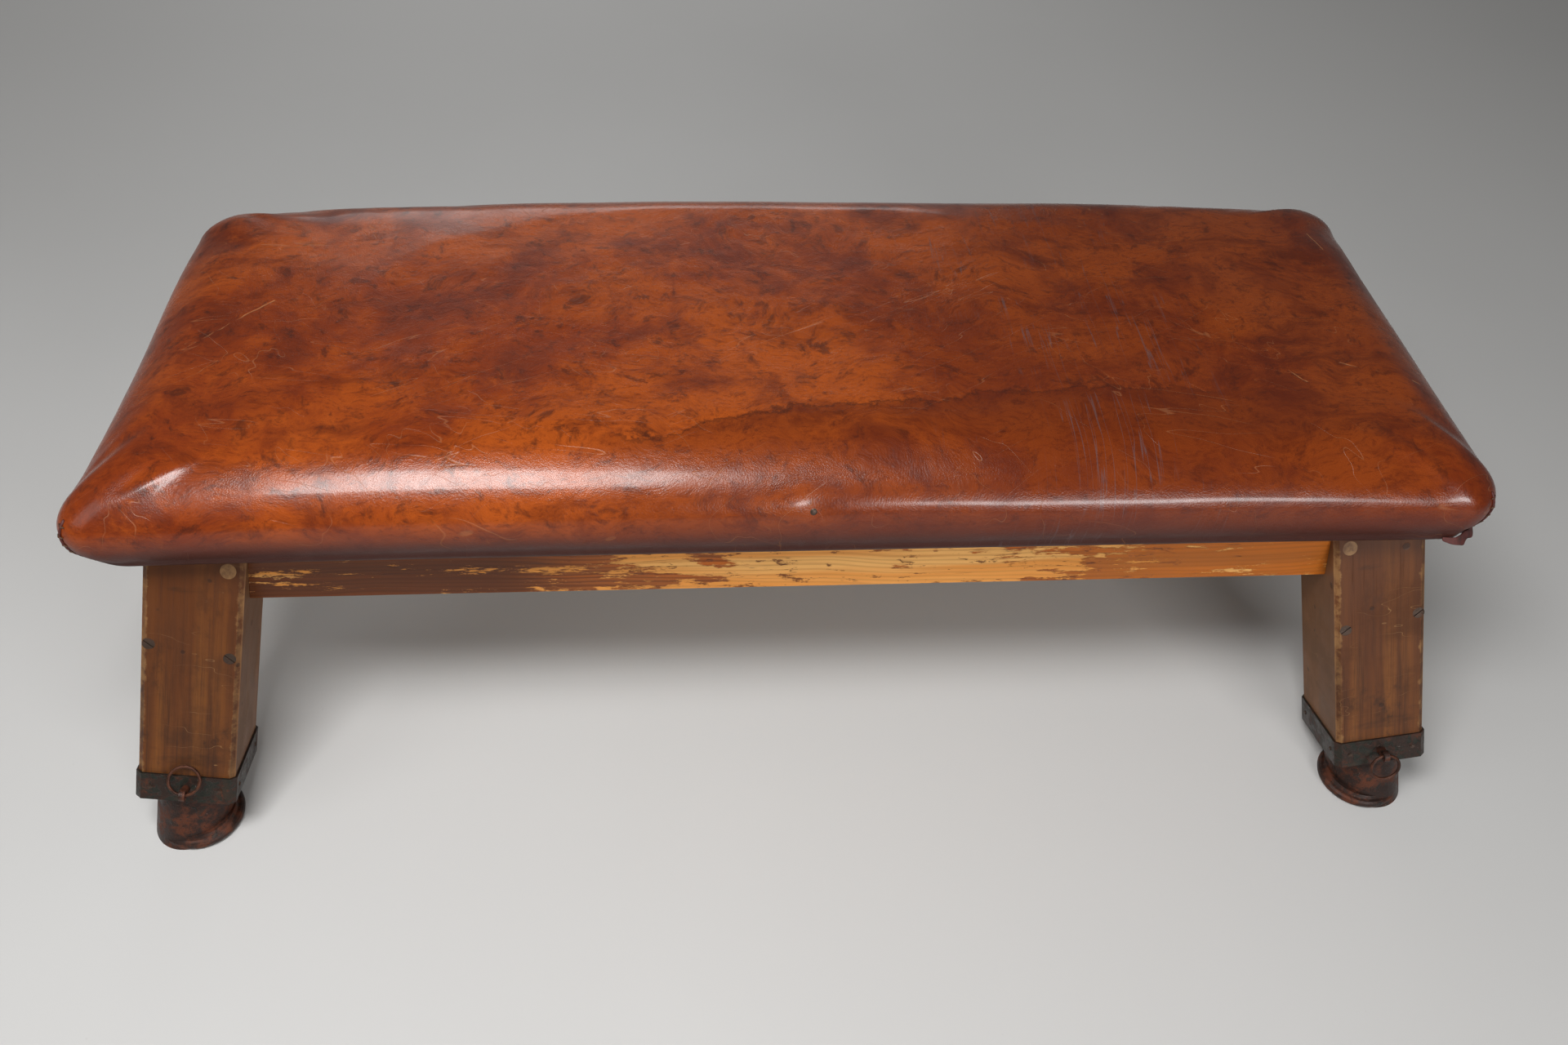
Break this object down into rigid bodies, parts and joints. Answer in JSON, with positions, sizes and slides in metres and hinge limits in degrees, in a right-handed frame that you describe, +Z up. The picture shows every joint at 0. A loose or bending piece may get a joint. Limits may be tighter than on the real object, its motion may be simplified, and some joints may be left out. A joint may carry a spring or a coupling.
{
  "type": "vaulting bench",
  "caption": "Low leather-topped gymnastics horse on four splayed wooden legs with telescopic posts, iron cuffs, flanged feet and spring pins with pull rings.",
  "frame": {"origin": "centre of the footprint on the floor, under the middle of the seat", "axes": "+X along the bench, +Z up, the front faces -Y"},
  "size_m": [1.4958, 0.7506, 0.477],
  "materials": {
    "leather": "waxed, mottled cognac, worn",
    "padding": "horsehair pad in hessian",
    "rail_pine": "varnished pine with flaked patches",
    "board_pine": "bare sawn pine",
    "leg_wood": "dark varnished, vertical grain",
    "post_wood": "turned beech, waxed",
    "iron": "rusted, remnants of dark green paint",
    "ring_iron": "rusted wire",
    "screw_steel": "darkened slotted screws",
    "spring_steel": "oiled spring wire",
    "peg_wood": "end grain pegs"
  },
  "bodies": {
    "bench": {"leather_cover": "leather", "padding": "padding", "front_plank": "board_pine", "middle_plank": "board_pine", "back_plank": "board_pine", "front_rail": "rail_pine", "back_rail": "rail_pine", "left_end_rail": "rail_pine", "right_end_rail": "rail_pine", "left_batten": "board_pine", "right_batten": "board_pine", "corner_blocks": "board_pine", "front_left_leg": "leg_wood", "front_right_leg": "leg_wood", "back_left_leg": "leg_wood", "back_right_leg": "leg_wood", "front_left_cuff": "iron", "front_right_cuff": "iron", "back_left_cuff": "iron", "back_right_cuff": "iron", "front_left_pin_spring": "spring_steel", "front_right_pin_spring": "spring_steel", "back_left_pin_spring": "spring_steel", "back_right_pin_spring": "spring_steel", "tenon_pegs": "peg_wood", "leg_screws": "screw_steel", "cuff_nails": "iron", "plank_screws": "screw_steel", "tacks": "iron"},
    "front_left_post": {"front_left_post": "post_wood", "front_left_foot": "iron", "front_left_foot_screw": "screw_steel"},
    "front_left_pin": {"front_left_locking_pin": "iron"},
    "front_left_ring": {"front_left_pull_ring": "ring_iron"},
    "front_right_post": {"front_right_post": "post_wood", "front_right_foot": "iron", "front_right_foot_screw": "screw_steel"},
    "front_right_pin": {"front_right_locking_pin": "iron"},
    "front_right_ring": {"front_right_pull_ring": "ring_iron"},
    "back_left_post": {"back_left_post": "post_wood", "back_left_foot": "iron", "back_left_foot_screw": "screw_steel"},
    "back_left_pin": {"back_left_locking_pin": "iron"},
    "back_left_ring": {"back_left_pull_ring": "ring_iron"},
    "back_right_post": {"back_right_post": "post_wood", "back_right_foot": "iron", "back_right_foot_screw": "screw_steel"},
    "back_right_pin": {"back_right_locking_pin": "iron"},
    "back_right_ring": {"back_right_pull_ring": "ring_iron"}
  },
  "joints": [
    {"name": "front_left_leg_extension", "type": "slide", "parent": "bench", "child": "front_left_post", "axis": [-0.1849, -0.3746, -0.9086], "range_m": [0, 0.15]},
    {"name": "front_left_pin_pull", "type": "slide", "parent": "bench", "child": "front_left_pin", "axis": [0.0747, -0.9272, 0.3671], "range_m": [0, 0.008], "stiffness_N_per_m": 600, "springref_m": -0.012, "deforming": ["front_left_pin_spring"]},
    {"name": "front_left_ring_swing", "type": "hinge", "parent": "front_left_pin", "child": "front_left_ring", "pos_m": [-0.68418, -0.36246, 0.09648], "axis": [0.9799, 0, -0.1994], "range_deg": [0, 219]},
    {"name": "front_right_leg_extension", "type": "slide", "parent": "bench", "child": "front_right_post", "axis": [0.1849, -0.3746, -0.9086], "range_m": [0, 0.15]},
    {"name": "front_right_pin_pull", "type": "slide", "parent": "bench", "child": "front_right_pin", "axis": [-0.0747, -0.9272, 0.3671], "range_m": [0, 0.008], "stiffness_N_per_m": 600, "springref_m": -0.012, "deforming": ["front_right_pin_spring"]},
    {"name": "front_right_ring_swing", "type": "hinge", "parent": "front_right_pin", "child": "front_right_ring", "pos_m": [0.68418, -0.36246, 0.09648], "axis": [-0.9799, 0, -0.1994], "range_deg": [-25, 175]},
    {"name": "back_left_leg_extension", "type": "slide", "parent": "bench", "child": "back_left_post", "axis": [-0.1849, 0.3746, -0.9086], "range_m": [0, 0.15]},
    {"name": "back_left_pin_pull", "type": "slide", "parent": "bench", "child": "back_left_pin", "axis": [0.0747, 0.9272, 0.3671], "range_m": [0, 0.008], "stiffness_N_per_m": 600, "springref_m": -0.012, "deforming": ["back_left_pin_spring"]},
    {"name": "back_left_ring_swing", "type": "hinge", "parent": "back_left_pin", "child": "back_left_ring", "pos_m": [-0.68418, 0.36246, 0.09648], "axis": [0.9799, 0, -0.1994], "range_deg": [-25, 175]},
    {"name": "back_right_leg_extension", "type": "slide", "parent": "bench", "child": "back_right_post", "axis": [0.1849, 0.3746, -0.9086], "range_m": [0, 0.15]},
    {"name": "back_right_pin_pull", "type": "slide", "parent": "bench", "child": "back_right_pin", "axis": [-0.0747, 0.9272, 0.3671], "range_m": [0, 0.008], "stiffness_N_per_m": 600, "springref_m": -0.012, "deforming": ["back_right_pin_spring"]},
    {"name": "back_right_ring_swing", "type": "hinge", "parent": "back_right_pin", "child": "back_right_ring", "pos_m": [0.68418, 0.36246, 0.09648], "axis": [0.9799, 0, 0.1994], "range_deg": [-25, 175]}
  ]
}
